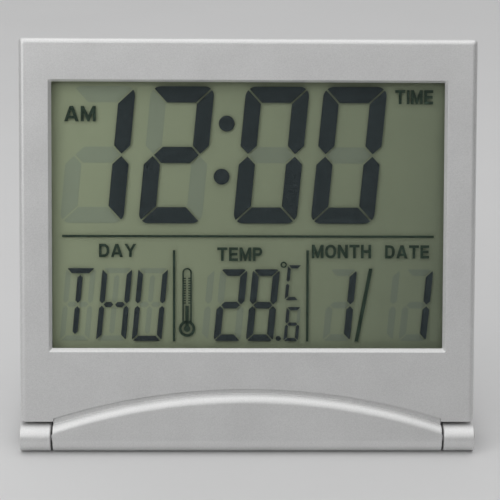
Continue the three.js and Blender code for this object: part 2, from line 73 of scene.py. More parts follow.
def own_frame(tilt):
    """Turns millimetres in a frame that leans back by tilt into metres in the scene."""
    return Matrix.Translation(HINGE) @ Matrix.Rotation(-tilt, 4, "X") @ Matrix.Scale(MM, 4)


BODY = own_frame(LEAN)
COVER = own_frame(DROP)


def limits(node, own):
    """Lowest and highest corner of a CAD node in one of the clock's own frames."""
    inverse = own.inverted()
    points = [inverse @ v.co for v in frame["nodes"][node].data.vertices]
    low = Vector([min(p[i] for p in points) for i in range(3)])
    high = Vector([max(p[i] for p in points) for i in range(3)])
    return low, high


def centre_of(node):
    """Where the middle of a CAD node is, seen square to the face."""
    low, high = limits(node, BODY)
    return (low.x + high.x) / 2, (low.z + high.z) / 2


# ---------------- sizes from the frame, in millimetres

bezel_low, bezel_high = limits("front_bezel", BODY)
rear_low, rear_high = limits("rear_case", BODY)
door_low, door_high = limits("battery_door", BODY)
pin_low, pin_high = limits("hinge_pin_right", BODY)
cover_high = limits("flip_cover", COVER)[1]
lens_front = limits("window_lens", BODY)[0].y
glass_back = limits("lcd_front_glass", BODY)[1].y
reflector_front = limits("rear_reflector", BODY)[0].y

HALF = bezel_high.x  # half the width
TOP = bezel_high.z
BARREL = cover_high.z  # radius of the hinge tube and the knuckles
SPLIT = bezel_high.y  # depth of the bezel's rim
BACK = rear_high.y  # depth of the rear wall's outside
COVER_LENGTH = cover_high.y

# ---------------- sizes of the details, in millimetres

FACE = -0.8  # depth of the panel's front
WALL = 1.6
SEAM = 0.15  # chamfer of both rims where the bezel meets the rear case
OUTER_CORNER = 0.9  # corner radii of the shells, seen square to the face
INNER_CORNER = 0.5
FILLET = 1.0  # rounding of the rear case's edges
FACE_EDGE = {"depth": 1.3, "side": 1.4, "top": 1.35, "bottom": 0.3}  # rounding of the panel's edges
LIP_BACK = lens_front - 0.2
REAR_INNER = BACK - 1.4
UNDERSIDE = 3.8  # from the hinge axis to the body's underside, square to the open cover
KNUCKLE_GAP = 0.5  # between a knuckle and the hinge tube, half-way along the pin
KNUCKLE_START = (pin_low.x + pin_high.x + KNUCKLE_GAP) / 2
TUBE_HALF = KNUCKLE_START - KNUCKLE_GAP
PIN_HOLE = 1.2
PIN_HOLE_DEPTH = 6

WINDOW_HALF = 47.95
WINDOW_BOTTOM = 20.9
WINDOW_TOP = 86.4
BEVEL_DEEP = 0.85  # of the window's bevel, square to the face
WINDOW_BEVEL = {"side": 0.75, "bottom": 0.85, "top": 0.5}

ARC_LINE = {"apex": 11.9, "radius": 157}  # where the shut cover ends
ARC_TOP = {"apex": 10.75, "radius": 149}  # top of the bright bevel
BAND_DEPTH = -0.35  # depth of the narrow band between the line and the bevel
BEVEL_DEPTH = -1.6  # depth at which the bevel starts, at the front of a narrow shelf
BEVEL_FALL = math.radians(25)  # its slope there
BEVEL_RADIUS = 2.3  # rounding of the bevel into the raised face


def underside(depth):
    """Height of the body's underside at a depth."""
    slope = LEAN - DROP
    return (UNDERSIDE + depth * math.sin(slope)) / math.cos(slope)


def arc_height(arc, x):
    return arc["apex"] - arc["radius"] + math.sqrt(arc["radius"] ** 2 - x * x)


def along_the_arc(arc, reach):
    """Points (x, height) of an arc from -reach to reach."""
    steps = 96
    places = [reach * (2 * k / steps - 1) for k in range(steps + 1)]
    return [(x, arc_height(arc, x)) for x in places]


# ---------------- mesh making

def skin(mesh, rows, following):
    """Joins each row of points to the row that follows it."""
    for row, after in zip(rows, following):
        for i in range(len(row)):
            j = (i + 1) % len(row)
            mesh.faces.new((row[i], row[j], after[j], after[i]))


def loft(rings, closed=False):
    """A skin through rings of equally many points, with end caps, or closed round to the first ring."""
    mesh = bmesh.new()
    rows = [[mesh.verts.new(p) for p in ring] for ring in rings]
    skin(mesh, rows, rows[1:] + rows[:1] if closed else rows[1:])
    if not closed:
        mesh.faces.new(rows[0][::-1])
        mesh.faces.new(rows[-1])
    bmesh.ops.recalc_face_normals(mesh, faces=mesh.faces)
    return mesh


def rounded_ring(x0, x1, z0, z1, radius, depth):
    """Points round a rectangle with round corners, at one depth."""
    steps = 5
    corners = (
        (x1 - radius, z1 - radius, 0),
        (x0 + radius, z1 - radius, 90),
        (x0 + radius, z0 + radius, 180),
        (x1 - radius, z0 + radius, 270),
    )
    points = []
    for cx, cz, start in corners:
        for step in range(steps + 1):
            angle = math.radians(start + 90 * step / steps)
            points.append((cx + radius * math.cos(angle), depth, cz + radius * math.sin(angle)))
    return points


def quarter(steps):
    """Steps round a quarter circle, in shares of its radius: how far short of its end, and how far in."""
    angles = [math.radians(90 * k / steps) for k in range(steps + 1)]
    return [(1 - math.sin(a), 1 - math.cos(a)) for a in angles]


def block(centre, size, radius, stations):
    """A rounded rectangle through stations of (depth, how far it is grown there)."""
    x, z = centre
    width, height = size
    rings = []
    for depth, grow in stations:
        w, h = width / 2 + grow, height / 2 + grow
        rings.append(rounded_ring(x - w, x + w, z - h, z + h, max(radius + grow, 0.02), depth))
    return loft(rings)


def disc(centre, stations):
    """A round body along the depth through stations of (depth, radius)."""
    sides = 48
    turns = [2 * math.pi * k / sides for k in range(sides)]
    x, z = centre
    return loft([[(x + r * math.cos(a), depth, z + r * math.sin(a)) for a in turns] for depth, r in stations])


def bar(x0, x1, radius, edge=0.0):
    """A round bar along the hinge axis, whose ends are rounded by edge."""
    stations = [(x0, radius), (x1, radius)]
    if edge:
        near = [(x0 + edge * rest, radius - edge * share) for rest, share in reversed(quarter(6))]
        far = [(x1 - edge * rest, radius - edge * share) for rest, share in quarter(6)]
        stations = near + far
    sides = 64
    turns = [2 * math.pi * k / sides for k in range(sides)]
    return loft([[(x, r * math.cos(a), r * math.sin(a)) for a in turns] for x, r in stations])


def rounded_corner(before, corner, after, radius, steps):
    """Points of the arc that rounds a corner between two straight edges."""
    corner = Vector(corner)
    back = (Vector(before) - corner).normalized()
    ahead = (Vector(after) - corner).normalized()
    half = back.angle(ahead) / 2
    centre = corner + (back + ahead).normalized() * radius / math.sin(half)
    start = corner + back * radius / math.tan(half) - centre
    turn = math.pi - 2 * half
    way = 1 if back.x * ahead.y - back.y * ahead.x < 0 else -1
    points = []
    for step in range(steps + 1):
        angle = way * turn * step / steps
        x = start.x * math.cos(angle) - start.y * math.sin(angle)
        y = start.x * math.sin(angle) + start.y * math.cos(angle)
        points.append((centre.x + x, centre.y + y))
    return points


def moved(points, distance):
    """A closed outline moved inwards by a distance. Its points run anticlockwise."""
    sharpest = 0.3  # limits how far the point of a sharp corner moves
    result = []
    count = len(points)
    for i, point in enumerate(points):
        here = Vector(point)
        before = (here - Vector(points[i - 1])).normalized()
        after = (Vector(points[(i + 1) % count]) - here).normalized()
        inward = Vector((-before.y - after.y, before.x + after.x))
        inward *= distance / max(sharpest, inward.length_squared / 2)
        result.append((here.x + inward.x, here.y + inward.y))
    return result


def temporary(mesh):
    """An object for a mesh that is still being joined and cut."""
    data = bpy.data.meshes.new("part")
    mesh.to_mesh(data)
    mesh.free()
    made = bpy.data.objects.new("part", data)
    scene.collection.objects.link(made)
    return made


def combine(target, others, operation):
    """Joins meshes or objects to an object, or cuts them from it."""
    for source in others:
        other = temporary(source) if isinstance(source, bmesh.types.BMesh) else source
        modifier = target.modifiers.new("combine", "BOOLEAN")
        modifier.operation = operation
        modifier.solver = "EXACT"
        modifier.object = other
        bpy.context.view_layer.update()
        evaluated = target.evaluated_get(bpy.context.evaluated_depsgraph_get())
        result = bpy.data.meshes.new_from_object(evaluated)
        target.modifiers.remove(modifier)
        bpy.data.meshes.remove(other.data)
        target.data = result
    return target


def cut(target, *meshes):
    return combine(target, meshes, "DIFFERENCE")


def join(target, *meshes):
    return combine(target, meshes, "UNION")


def add_piece(name, source, own, material, body, replaced=(), sharp=35):
    """Makes a drawn mesh, or an object that was joined and cut, into a piece of the visual model."""
    drawn = isinstance(source, bmesh.types.BMesh)
    piece = temporary(source) if drawn else source
    piece.name = name
    piece.data.name = name
    piece.data.transform(own)
    tidy = bmesh.new()
    tidy.from_mesh(piece.data)
    if not drawn:
        bmesh.ops.remove_doubles(tidy, verts=tidy.verts, dist=1e-7)
    bmesh.ops.recalc_face_normals(tidy, faces=tidy.faces)
    tidy.to_mesh(piece.data)
    tidy.free()
    piece.data.materials.clear()
    piece.data.materials.append(material)
    piece.data.shade_smooth()
    piece.data.set_sharp_from_angle(angle=math.radians(sharp))
    weighted = piece.modifiers.new("even shading", "WEIGHTED_NORMAL")
    weighted.keep_sharp = True
    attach(piece, body)
    if replaced:
        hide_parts(*replaced)


# ---------------- materials

class Recipe:
    """A material being made: a Principled shader whose patterns are measured in metres on the piece."""

    def __init__(self, name):
        self.material = bpy.data.materials.new(name)
        self.material.use_nodes = True
        self.tree = self.material.node_tree
        self.shader = self.tree.nodes["Principled BSDF"]
        self.output = self.tree.nodes["Material Output"]
        self.place = self.add("ShaderNodeTexCoord").outputs["Object"]

    def add(self, kind):
        return self.tree.nodes.new(kind)

    def link(self, source, target):
        self.tree.links.new(source, target)

    def noise(self, size_mm, detail=2.0, roughness=0.5, stretch=(1, 1, 1)):
        """Soft noise whose blobs are about size_mm across."""
        mapping = self.add("ShaderNodeMapping")
        mapping.inputs["Scale"].default_value = stretch
        self.link(self.place, mapping.inputs["Vector"])
        node = self.add("ShaderNodeTexNoise")
        node.inputs["Scale"].default_value = 1 / (size_mm * MM)
        node.inputs["Detail"].default_value = detail
        node.inputs["Roughness"].default_value = roughness
        self.link(mapping.outputs["Vector"], node.inputs["Vector"])
        return node.outputs["Fac"]

    def flakes(self, size_mm):
        """A random value for each small cell."""
        node = self.add("ShaderNodeTexVoronoi")
        node.inputs["Scale"].default_value = 1 / (size_mm * MM)
        self.link(self.place, node.inputs["Vector"])
        split = self.add("ShaderNodeSeparateColor")
        self.link(node.outputs["Color"], split.inputs["Color"])
        return split.outputs["Red"]

    def spread(self, value, low, high, start=0.25, end=0.75):
        """A value between start and end mapped to between low and high."""
        node = self.add("ShaderNodeMapRange")
        for name, number in (("From Min", start), ("From Max", end), ("To Min", low), ("To Max", high)):
            node.inputs[name].default_value = number
        self.link(value, node.inputs["Value"])
        return node.outputs["Result"]

    def combine(self, a, b, operation):
        node = self.add("ShaderNodeMath")
        node.operation = operation
        self.link(a, node.inputs[0])
        self.link(b, node.inputs[1])
        return node.outputs[0]

    def blend(self, factor, first, second):
        """A colour between two colours."""
        node = self.add("ShaderNodeMix")
        node.data_type = "RGBA"
        node.inputs["A"].default_value = (*first, 1)
        node.inputs["B"].default_value = (*second, 1)
        self.link(factor, node.inputs["Factor"])
        return node.outputs["Result"]

    def bump(self, height, depth_mm):
        node = self.add("ShaderNodeBump")
        node.inputs["Distance"].default_value = depth_mm * MM
        self.link(height, node.inputs["Height"])
        self.link(node.outputs["Normal"], self.shader.inputs["Normal"])

    def colour(self, source):
        self.link(source, self.shader.inputs["Base Color"])

    def roughness(self, source):
        self.link(source, self.shader.inputs["Roughness"])

    def settings(self, **values):
        for name, value in values.items():
            self.shader.inputs[name.replace("_", " ").title().replace("Ior", "IOR")].default_value = value


def shade(colour, factor):
    return tuple(min(1.0, c * factor) for c in colour)


def silver_paint():
    """Satin silver paint: a fine metallic grain over a soft orange peel."""
    recipe = Recipe("silver_paint")
    silver = (0.745, 0.746, 0.743)
    recipe.settings(metallic=0.55)
    flake = recipe.flakes(0.16)
    grain = recipe.noise(0.35, 3, 0.6)
    cloud = recipe.noise(9, 2)
    mottle = recipe.combine(recipe.spread(flake, 0, 0.5, 0, 1), recipe.spread(grain, 0, 0.5), "ADD")
    tone = recipe.combine(recipe.spread(mottle, 0, 0.8, 0, 1), recipe.spread(cloud, 0, 0.2), "ADD")
    recipe.colour(recipe.blend(tone, shade(silver, 0.88), shade(silver, 1.1)))
    recipe.roughness(recipe.combine(recipe.spread(grain, 0.2, 0.27), recipe.spread(cloud, 0.18, 0.22), "ADD"))
    recipe.bump(mottle, 0.004)
    return recipe.material


def moulded_plastic(name, colour, roughness, grain_mm=0.25, depth_mm=0.006):
    """Plain moulded plastic with a fine spark-eroded texture."""
    recipe = Recipe(name)
    grain = recipe.noise(grain_mm, 3, 0.6)
    cloud = recipe.noise(7, 2)
    recipe.colour(recipe.blend(cloud, shade(colour, 0.9), shade(colour, 1.1)))
    recipe.roughness(recipe.spread(grain, roughness - 0.06, roughness + 0.06))
    recipe.bump(grain, depth_mm)
    return recipe.material


def bright_metal(name, colour, roughness):
    """Plated or drawn metal with fine lines and faint smudges."""
    recipe = Recipe(name)
    recipe.settings(metallic=1.0)
    lines = recipe.noise(0.3, 3, 0.6, stretch=(0.1, 1, 1))
    cloud = recipe.noise(3, 2)
    recipe.colour(recipe.blend(cloud, shade(colour, 0.85), shade(colour, 1.08)))
    recipe.roughness(recipe.spread(lines, roughness - 0.08, roughness + 0.1))
    recipe.bump(lines, 0.003)
    return recipe.material


def circuit_board():
    """Green solder mask over faint copper tracks."""
    recipe = Recipe("circuit_board")
    tracks = recipe.noise(1.6, 0, 0.5, stretch=(1, 1, 0.25))
    grain = recipe.noise(0.2, 2)
    covered, bare = (0.05, 0.19, 0.07), (0.02, 0.1, 0.04)
    recipe.colour(recipe.blend(recipe.spread(tracks, 0, 1, 0.48, 0.52), bare, covered))
    recipe.roughness(recipe.spread(grain, 0.35, 0.5))
    recipe.bump(tracks, 0.03)
    return recipe.material


def striped_rubber():
    """Zebra strip: thin conducting and insulating layers."""
    recipe = Recipe("zebra_rubber")
    wave = recipe.add("ShaderNodeTexWave")
    wave.inputs["Scale"].default_value = 1 / (6 * MM)
    wave.inputs["Distortion"].default_value = 0.4
    recipe.link(recipe.place, wave.inputs["Vector"])
    recipe.colour(recipe.blend(wave.outputs["Fac"], (0.02, 0.02, 0.022), (0.22, 0.2, 0.2)))
    recipe.roughness(recipe.spread(recipe.noise(0.4), 0.6, 0.8))
    return recipe.material


def clear_sheet(name, tint, gloss, roughness):
    """A clear sheet: it passes light, and mirrors more of it at a shallow angle."""
    recipe = Recipe(name)
    recipe.tree.nodes.remove(recipe.shader)
    through = recipe.add("ShaderNodeBsdfTransparent")
    through.inputs["Color"].default_value = (*tint, 1)
    mirror = recipe.add("ShaderNodeBsdfGlossy")
    smears = recipe.spread(recipe.noise(6, 3), roughness * 0.7, roughness * 1.3)
    recipe.link(smears, mirror.inputs["Roughness"])
    fresnel = recipe.add("ShaderNodeFresnel")
    fresnel.inputs["IOR"].default_value = gloss
    side = recipe.add("ShaderNodeNewGeometry").outputs["Backfacing"]
    outside = recipe.spread(side, 1, 0, 0, 1)
    mix = recipe.add("ShaderNodeMixShader")
    recipe.link(recipe.combine(fresnel.outputs["Fac"], outside, "MULTIPLY"), mix.inputs["Fac"])
    recipe.link(through.outputs["BSDF"], mix.inputs[1])
    recipe.link(mirror.outputs["BSDF"], mix.inputs[2])
    recipe.link(mix.outputs["Shader"], recipe.output.inputs["Surface"])
    return recipe.material


def reflector_film(name, light, dark, contrast=1.0):
    """The display's grey-green reflector: finely grained, with painted shade that darkens it towards its
    lower right, away from the light at the upper left.
    """
    recipe = Recipe(name)
    place = recipe.add("ShaderNodeSeparateXYZ")
    recipe.link(recipe.place, place.inputs["Vector"])
    low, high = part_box("rear_reflector")
    # painted shade: the film is coloured darker to the right and towards the bottom
    across = recipe.spread(place.outputs["X"], 0, 0.8, low.x, high.x)
    down = recipe.spread(place.outputs["Z"], 0.2, 0, low.z, high.z)
    painted_shade = recipe.combine(across, down, "ADD")
    grain = recipe.spread(recipe.noise(0.3, 3, 0.6), -0.06 * contrast, 0.06 * contrast)
    cloud = recipe.spread(recipe.noise(14, 2), -0.06, 0.06)
    tone = recipe.combine(painted_shade, recipe.combine(grain, cloud, "ADD"), "ADD")
    recipe.colour(recipe.blend(tone, light, dark))
    recipe.roughness(recipe.spread(recipe.noise(0.4), 0.5, 0.62))
    recipe.settings(specular_ior_level=0.2)
    return recipe.material


def display_ink(name, colour):
    """A darkened segment or a printed mark, with a faint unevenness."""
    recipe = Recipe(name)
    recipe.colour(recipe.blend(recipe.noise(1.2, 3), shade(colour, 0.8), shade(colour, 1.2)))
    recipe.roughness(recipe.spread(recipe.noise(0.4), 0.55, 0.7))
    recipe.settings(specular_ior_level=0.15)
    return recipe.material


SILVER = silver_paint()
STEEL = bright_metal("bright_steel", (0.62, 0.62, 0.63), 0.3)
BRASS = bright_metal("buzzer_brass", (0.6, 0.42, 0.16), 0.32)
BUTTON = moulded_plastic("button_plastic", (0.05, 0.05, 0.054), 0.5)
WHITE = moulded_plastic("white_plastic", (0.72, 0.72, 0.69), 0.5)
EPOXY = moulded_plastic("epoxy", (0.012, 0.012, 0.012), 0.28, 1.5)
SILICONE = moulded_plastic("silicone", (0.32, 0.32, 0.33), 0.65)
BEAD = moulded_plastic("sensor_bead", (0.16, 0.05, 0.02), 0.3, 0.8)
RED_WIRE = moulded_plastic("red_wire", (0.38, 0.02, 0.015), 0.4)
BLACK_WIRE = moulded_plastic("black_wire", (0.012, 0.012, 0.012), 0.4)
BOARD = circuit_board()
ZEBRA = striped_rubber()
LENS = clear_sheet("clear_lens", (0.985, 0.99, 0.985), 1.2, 0.06)
GLASS = clear_sheet("display_glass", (0.985, 0.99, 0.985), 1.1, 0.15)
# both films carry the painted shade towards their lower right
REFLECTOR = reflector_film("reflector", (0.48, 0.53, 0.36), (0.247, 0.277, 0.2))
GHOST = reflector_film("resting_segments", (0.4, 0.454, 0.342), (0.208, 0.237, 0.19), 0.5)
SEGMENT = display_ink("lit_segments", (0.032, 0.042, 0.046))
PRINT = display_ink("printed_marks", (0.03, 0.05, 0.036))

# ---------------- front bezel

def face_ring(side, top, bottom, radius, depth):
    """A ring round the body's outline, moved in from its sides and top."""
    return rounded_ring(-HALF + side, HALF - side, bottom, TOP - top, radius, depth)


def window_ring(share, radius, depth, grow=0.0):
    """A ring round the window, from its outer edge (share 0) to the inner edge of its bevel (share 1)."""
    side, bottom, top = (share * WINDOW_BEVEL[edge] - grow for edge in ("side", "bottom", "top"))
    half, low, high = WINDOW_HALF - side, WINDOW_BOTTOM + bottom, WINDOW_TOP - top
    return rounded_ring(-half, half, low, high, radius, depth)


def rim_rings(inner, rim, way):
    """The inside and the chamfered rim of a half shell, whose outer wall runs the given way from the rim."""
    wall = rim + way * SEAM
    return [
        face_ring(WALL, WALL, underside(inner) + WALL, INNER_CORNER, inner),
        face_ring(WALL, WALL, underside(rim) + WALL, INNER_CORNER, rim),
        face_ring(SEAM, SEAM, underside(rim) + SEAM, OUTER_CORNER, rim),
        face_ring(0, 0, underside(wall), OUTER_CORNER, wall),
    ]


def bezel_shell():
    """The panel and its walls: from the inside, over the outer edge and the face, to the window's bevel."""
    rings = rim_rings(LIP_BACK, SPLIT, -1)
    for rest, share in quarter(8):
        depth = FACE + FACE_EDGE["depth"] * rest
        side, top, bottom = (FACE_EDGE[edge] * share for edge in ("side", "top", "bottom"))
        rings.append(face_ring(side, top, underside(depth) + bottom, OUTER_CORNER - bottom, depth))
    rings += [
        window_ring(0, 0.35, FACE, 0.08),
        window_ring(0, 0.3, FACE + 0.03),
        window_ring(0.08, 0.3, FACE + 0.09),
        window_ring(0.93, 0.25, FACE + BEVEL_DEEP - 0.05),
        window_ring(1, 0.25, FACE + BEVEL_DEEP + 0.05),
        window_ring(1, 0.25, LIP_BACK),
    ]
    return loft(rings, closed=True)


def lower_profile(x):
    """The section of the tube, raised face and bevel at x, in depth and height, anticlockwise."""
    line, top = arc_height(ARC_LINE, x), arc_height(ARC_TOP, x)
    slope = LEAN - DROP
    rear = Vector((math.cos(slope), math.sin(slope))) * BARREL
    rise = Vector((-math.sin(slope), math.cos(slope))) * (UNDERSIDE + WALL / 2)
    inside = 0.6  # depth within the panel's wall, where the block's back is out of sight
    above = line + 0.3  # height within the panel
    band, shelf = (BAND_DEPTH, top), (BEVEL_DEPTH, top)
    brow = (-BARREL, top - (BARREL + BEVEL_DEPTH) * math.tan(BEVEL_FALL))
    lowest = 0.05  # the bevel's rounding ends this far above the hinge axis, or higher
    radius = min(BEVEL_RADIUS, 1.7 * (brow[1] - lowest))
    points = [tuple(rear + rise), (inside, underside(inside) + 0.9), (inside, above), (BAND_DEPTH, above)]
    points += rounded_corner((BAND_DEPTH, line), band, shelf, 0.1, 2)
    points += rounded_corner(band, shelf, brow, 0.14, 3)
    points += rounded_corner(shelf, brow, (-BARREL, 0), radius, 12)
    steps = 22
    for k in range(steps + 1):
        angle = math.pi + (math.pi + slope) * k / steps
        points.append((BARREL * math.cos(angle), BARREL * math.sin(angle)))
    return points


def lower_block():
    """The hinge tube with the raised face above it, swept from end to end with rounded ends."""
    edge = 0.08
    steps = 96
    inner = TUBE_HALF - 2 * edge
    near = [(-TUBE_HALF, edge), (-TUBE_HALF + 0.3 * edge, 0.3 * edge), (-TUBE_HALF + edge, 0)]
    between = [(inner * (2 * k / steps - 1), 0) for k in range(steps + 1)]
    stations = near + between + [(-x, inset) for x, inset in reversed(near)]
    rings = []
    for x, inset in stations:
        outline = lower_profile(x)
        if inset:
            outline = moved(outline, inset)
        rings.append([(x, y, z) for y, z in outline])
    return loft(rings)


def below_the_line():
    """The panel's part below the arc, which the lower block takes the place of."""
    reach = TUBE_HALF + 0.02
    clear = -6  # below and in front of everything
    outline = [(-reach, clear), (reach, clear), *reversed(along_the_arc(ARC_LINE, reach))]
    return loft([[(x, depth, z) for x, z in outline] for depth in (clear, 0.3)])


def front_bezel():
    hole_end = TUBE_HALF - PIN_HOLE_DEPTH
    tube = temporary(lower_block())
    cut(tube, bar(-TUBE_HALF - 1, -hole_end, PIN_HOLE), bar(hole_end, TUBE_HALF + 1, PIN_HOLE))
    shell = cut(temporary(bezel_shell()), below_the_line())
    join(shell, tube)
    add_piece("bezel_shell", shell, BODY, SILVER, "clock_body", ["front_bezel"])


# ---------------- rear case, door, buttons and screws

CASE_SCREWS = [f"case_screw_{k}" for k in range(1, 5)]
SCREW_BOSS = 2.6  # radius of the posts that take the case screws

BUTTONS = ["button_mode", "button_set", "button_up", "button_down"]
BUTTON_HOLE = 3.65

DOOR_CENTRE = centre_of("battery_door")
DOOR_SIZE = (door_high.x - door_low.x, door_high.z - door_low.z)
DOOR_LEDGE = BACK - 1.0

SOUND_SLOT = (9, 1.2)
SOUND_SLOT_PITCH = 3


def mouth(floor, chamfer=0.15):
    """Stations of a hole that opens in the rear wall with a small chamfer."""
    beyond = 0.3
    return [(floor, 0), (BACK - chamfer, 0), (BACK + beyond, chamfer + beyond)]


def round_mouth(centre, radius, floor, chamfer=0.15):
    """A round hole that opens in the rear wall."""
    return disc(centre, [(depth, radius + grow) for depth, grow in mouth(floor, chamfer)])


def grown(size, by):
    return size[0] + by, size[1] + by


def rear_tray():
    """The rear case's shell, from the floor inside it over its rim to the back."""
    rings = rim_rings(REAR_INNER, rear_low.y, 1)
    for rest, share in quarter(8):
        depth = BACK - FILLET * rest
        inset = FILLET * share
        rings.append(face_ring(inset, inset, underside(depth) + inset, OUTER_CORNER + 0.3 * inset, depth))
    return loft(rings)


def rear_case():
    """The tray with its screw posts, and its holes for the screws, the buttons, the door and the sound."""
    case = temporary(rear_tray())
    through = REAR_INNER - 1
    post = [(rear_low.y + 0.3, SCREW_BOSS), (REAR_INNER + 0.3, SCREW_BOSS)]
    for name in CASE_SCREWS:
        x, z = centre_of(name)
        join(case, disc((math.copysign(abs(x) - 0.4, x), z), post))
    for name in CASE_SCREWS:
        low, high = limits(name, BODY)
        cut(case, round_mouth(centre_of(name), (high.x - low.x) / 2 + 0.2, REAR_INNER - 0.8))
    for name in BUTTONS:
        cut(case, round_mouth(centre_of(name), BUTTON_HOLE, through, 0.2))
    cut(case, block(DOOR_CENTRE, grown(DOOR_SIZE, 0.5), 1.4, mouth(DOOR_LEDGE)))
    cut(case, block(DOOR_CENTRE, grown(DOOR_SIZE, -3), 1.0, [(through, 0), (DOOR_LEDGE + 0.5, 0)]))
    x, z = centre_of("piezo_buzzer")
    for row in (-1, 0, 1):
        cut(case, block((x, z + SOUND_SLOT_PITCH * row), SOUND_SLOT, 0.58, mouth(through, 0.1)))
    add_piece("rear_shell", case, BODY, SILVER, "clock_body", ["rear_case"])


def battery_door():
    """The door: a rounded plate with a plug behind it, grip grooves and an arrow that points to its latch."""
    rear_face = door_high.y
    beyond = rear_face + 0.2
    edge = 0.25
    stations = [(rear_face - 0.7, -0.1)]
    stations += [(rear_face - edge * rest, -edge * share) for rest, share in quarter(4)]
    door = temporary(block(DOOR_CENTRE, DOOR_SIZE, 1.2, stations))
    join(door, block(DOOR_CENTRE, grown(DOOR_SIZE, -3.6), 0.8, [(door_low.y, 0), (rear_face - 0.5, 0)]))
    x, z = DOOR_CENTRE
    for row in range(4):
        groove = (x, z + DOOR_SIZE[1] / 2 - 2.6 - 1.3 * row)
        cut(door, block(groove, (9, 0.55), 0.25, [(rear_face - 0.3, -0.12), (beyond, 0.1)]))
    base = z + 1.5
    arrow = [(x - 2, base), (x, base + 2.6), (x + 2, base)]
    cut(door, loft([[(px, depth, pz) for px, pz in arrow] for depth in (rear_face - 0.25, beyond)]))
    add_piece("battery_lid", door, BODY, SILVER, "battery_door", ["battery_door"])


def button_symbol(name, centre, depths):
    """A small raised sign on a button: a dot, a bar or a triangle."""
    x, z = centre
    if name == "button_mode":
        return disc(centre, [(depths[0], 0.9), (depths[1], 0.8)])
    if name == "button_set":
        return block(centre, (2.2, 0.8), 0.3, [(depths[0], 0), (depths[1], -0.08)])
    way = 1 if name == "button_up" else -1
    points = [(x - 1.2, z - 0.7 * way), (x, z + 1.2 * way), (x + 1.2, z - 0.7 * way)]
    if way < 0:
        points.reverse()
    outlines = (points, moved(points, -0.08))
    return loft([[(px, depth, pz) for px, pz in outline] for outline, depth in zip(outlines, depths)])


def button(name):
    """A cap with a rounded rim and a shallow dish, and the flange that keeps it in."""
    low, high = limits(name, BODY)
    flange = (high.x - low.x) / 2
    radius = flange - 1
    top = high.y
    rim = 0.45
    dish = 0.22
    stations = [(low.y, flange), (REAR_INNER - 0.4, flange), (REAR_INNER - 0.3, radius)]
    stations += [(top - rim * rest, radius - rim * share) for rest, share in quarter(6)]
    for step in range(1, 7):
        share = 1 - step / 7
        stations.append((top - dish * (1 - share ** 2), (radius - rim) * share))
    cap = temporary(disc(centre_of(name), stations))
    join(cap, button_symbol(name, centre_of(name), (top - dish - 0.1, top - dish + 0.12)))
    add_piece(name + "_cap", cap, BODY, BUTTON, name, [name])


def case_screw(node):
    """A pan head screw with a cross recess."""
    low, high = limits(node, BODY)
    centre = centre_of(node)
    head = (high.x - low.x) / 2
    shank, point = 0.95, 0.4
    seat = REAR_INNER - 0.6
    top = high.y
    stations = [(low.y, point), (low.y + 1, shank), (seat + 0.02, shank), (seat + 0.03, head)]
    stations += [(top - 0.7 * rest, head - 0.55 * share) for rest, share in quarter(6)]
    screw = temporary(disc(centre, stations))
    long, short = 1.24 * head, 0.26 * head
    recess = [(top - 0.6, -0.06), (top + 0.2, 0.02)]
    cut(screw, block(centre, (long, short), 0.05, recess), block(centre, (short, long), 0.05, recess))
    add_piece(node + "_fine", screw, BODY, STEEL, "clock_body", [node])


# ---------------- flip cover

COVER_EDGE = 0.45  # rounding of the plate's edges
COVER_CORNER = 0.9
ARCH_GAP = 0.3  # between the arch and the line it meets when the cover is shut
KNUCKLE_EDGE = 0.35


def cover_outline():
    """The cover seen from outside, anticlockwise: two arms at the hinge, and the arch between them."""
    arm = KNUCKLE_START + 0.03  # so that the arms' sides and the knuckles' ends don't coincide
    start = -COVER_EDGE
    middle = COVER_LENGTH - COVER_CORNER
    points = [(HALF, start)]
    for x, turned in ((HALF - COVER_CORNER, 0), (COVER_CORNER - HALF, 90)):
        for step in range(7):
            angle = math.radians(turned + 15 * step)
            points.append((x + COVER_CORNER * math.cos(angle), middle + COVER_CORNER * math.sin(angle)))
    points += [(-HALF, start), (-arm, start)]
    points += [(x, height + ARCH_GAP) for x, height in along_the_arc(ARC_LINE, arm)]
    points.append((arm, start))
    return points


def inside_of_cover():
    """Height of the cover plate's inner face, read where the plate is flat and clear of the knuckles."""
    inverse = COVER.inverted()
    points = [inverse @ v.co for v in frame["nodes"]["flip_cover"].data.vertices]
    return min(p.z for p in points if 2 * BARREL < p.y < COVER_LENGTH / 2)


def under_the_floor():
    """A block whose top is the surface that the clock stands on."""
    width, height = 0.3, 0.1
    mesh = bmesh.new()
    bmesh.ops.create_cube(mesh, size=1)
    mesh.transform(Matrix.Translation((0, 0, -height / 2)) @ Matrix.Diagonal((width, width, height, 1)))
    mesh.transform(COVER.inverted())
    return mesh


def flip_cover():
    """The cover's plate and knuckles, cut level where its free edge stands on the table."""
    outline = cover_outline()
    inside = inside_of_cover()
    levels = [(inside + COVER_EDGE * rest, COVER_EDGE * share) for rest, share in reversed(quarter(5))]
    levels += [(BARREL - COVER_EDGE * rest, COVER_EDGE * share) for rest, share in quarter(5)]
    cover = temporary(loft([[(x, y, level) for x, y in moved(outline, inset)] for level, inset in levels]))
    flush = HALF - 0.03  # likewise at the outer ends
    for x0, x1 in ((-flush, -KNUCKLE_START), (KNUCKLE_START, flush)):
        join(cover, bar(x0, x1, BARREL, KNUCKLE_EDGE))
    hole_end = KNUCKLE_START + PIN_HOLE_DEPTH
    for x0, x1 in ((-hole_end, 1 - KNUCKLE_START), (KNUCKLE_START - 1, hole_end)):
        cut(cover, bar(x0, x1, PIN_HOLE))
    cut(cover, under_the_floor())
    add_piece("cover_shell", cover, COVER, SILVER, "flip_cover", ["flip_cover"])


# ---------------- display

SLANT = 0.095  # how far the digits lean over for each millimetre of height
FLOOR = -BARREL  # heights on the display are counted from the bottom of the hinge tube
SEGMENT_DEPTHS = (glass_back + 0.03, glass_back + 0.07)
GHOST_DEPTHS = (reflector_front - 0.05, reflector_front - 0.02)


